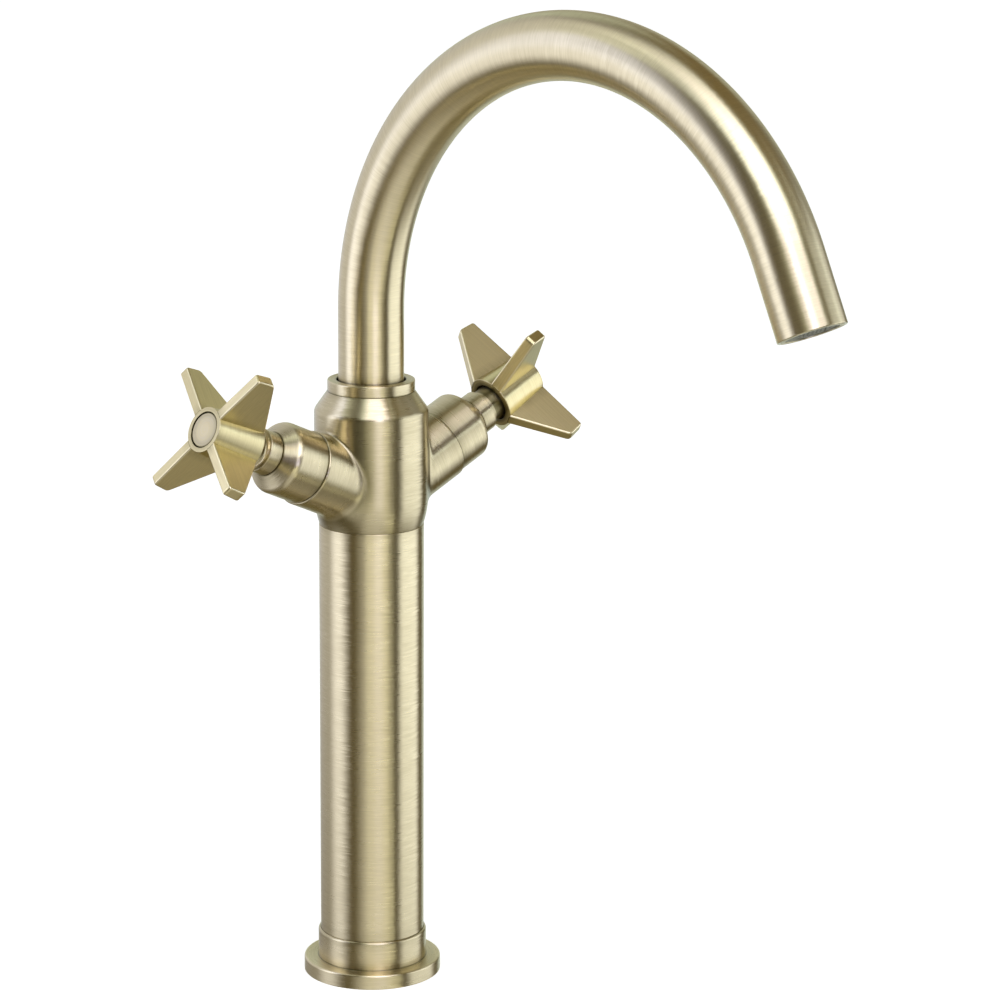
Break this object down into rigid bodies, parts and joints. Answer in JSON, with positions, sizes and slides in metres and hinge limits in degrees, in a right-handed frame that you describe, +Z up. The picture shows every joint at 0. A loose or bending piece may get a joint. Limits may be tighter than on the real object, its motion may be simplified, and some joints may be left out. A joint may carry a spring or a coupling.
{
  "type": "basin mixer tap",
  "caption": "Tall basin mixer tap: a column on a round foot, raised side valves with finned cross handles, and a swan-neck spout that swivels.",
  "frame": {"origin": "centre of the stud hole at the foot's underside, which is the mounting surface", "axes": "+Z up along the column, the arms along X with the hot side at -X, the spout towards -Y"},
  "size_m": [0.1994, 0.2855, 0.4288],
  "materials": {
    "brushed_brass": "brushed light antique brass, lacquered",
    "plain_brass": "turned brass, unfinished",
    "copper": "drawn copper",
    "steel": "stainless steel",
    "rubber": "black sealing rubber",
    "nylon": "natural nylon",
    "ceramic": "lapped alumina ceramic"
  },
  "bodies": {
    "base": {"foot_flange": "brushed_brass", "foot_seal": "rubber", "base_insert": "plain_brass", "column_tube": "brushed_brass", "hot_supply_pipe": "copper", "cold_supply_pipe": "copper", "mixer_body": "brushed_brass", "neck_ring": "brushed_brass", "low_washer": "nylon", "top_washer": "nylon", "hot_seat_seal": "rubber", "hot_fixed_disc": "ceramic", "hot_headwork": "plain_brass", "hot_flange_seal": "rubber", "hot_bonnet": "brushed_brass", "hot_collar": "brushed_brass", "cold_seat_seal": "rubber", "cold_fixed_disc": "ceramic", "cold_headwork": "plain_brass", "cold_flange_seal": "rubber", "cold_bonnet": "brushed_brass", "cold_collar": "brushed_brass"},
    "spout": {"spout_tube": "brushed_brass", "spout_nipple": "plain_brass", "spout_oring_low": "rubber", "spout_oring_high": "rubber", "outlet_bush": "brushed_brass", "aerator_seal": "rubber", "aerator_cage": "steel", "aerator_mesh": "steel"},
    "hot_control": {"hot_turning_disc": "ceramic", "hot_spindle": "plain_brass", "hot_spindle_oring": "rubber", "hot_handle": "brushed_brass", "hot_screw": "steel", "hot_cap": "brushed_brass"},
    "cold_control": {"cold_turning_disc": "ceramic", "cold_spindle": "plain_brass", "cold_spindle_oring": "rubber", "cold_handle": "brushed_brass", "cold_screw": "steel", "cold_cap": "brushed_brass"}
  },
  "joints": [
    {"name": "spout_swivel", "type": "hinge", "parent": "base", "child": "spout", "pos_m": [0, 0, 0.259], "axis": [0, 0, 1], "continuous": true},
    {"name": "hot_handle_turn", "type": "hinge", "parent": "base", "child": "hot_control", "pos_m": [0, 0, 0.2139], "axis": [-0.9114, 0, 0.4115], "range_deg": [0, 90]},
    {"name": "cold_handle_turn", "type": "hinge", "parent": "base", "child": "cold_control", "pos_m": [0, 0, 0.2139], "axis": [-0.9114, 0, -0.4115], "range_deg": [0, 90]}
  ]
}
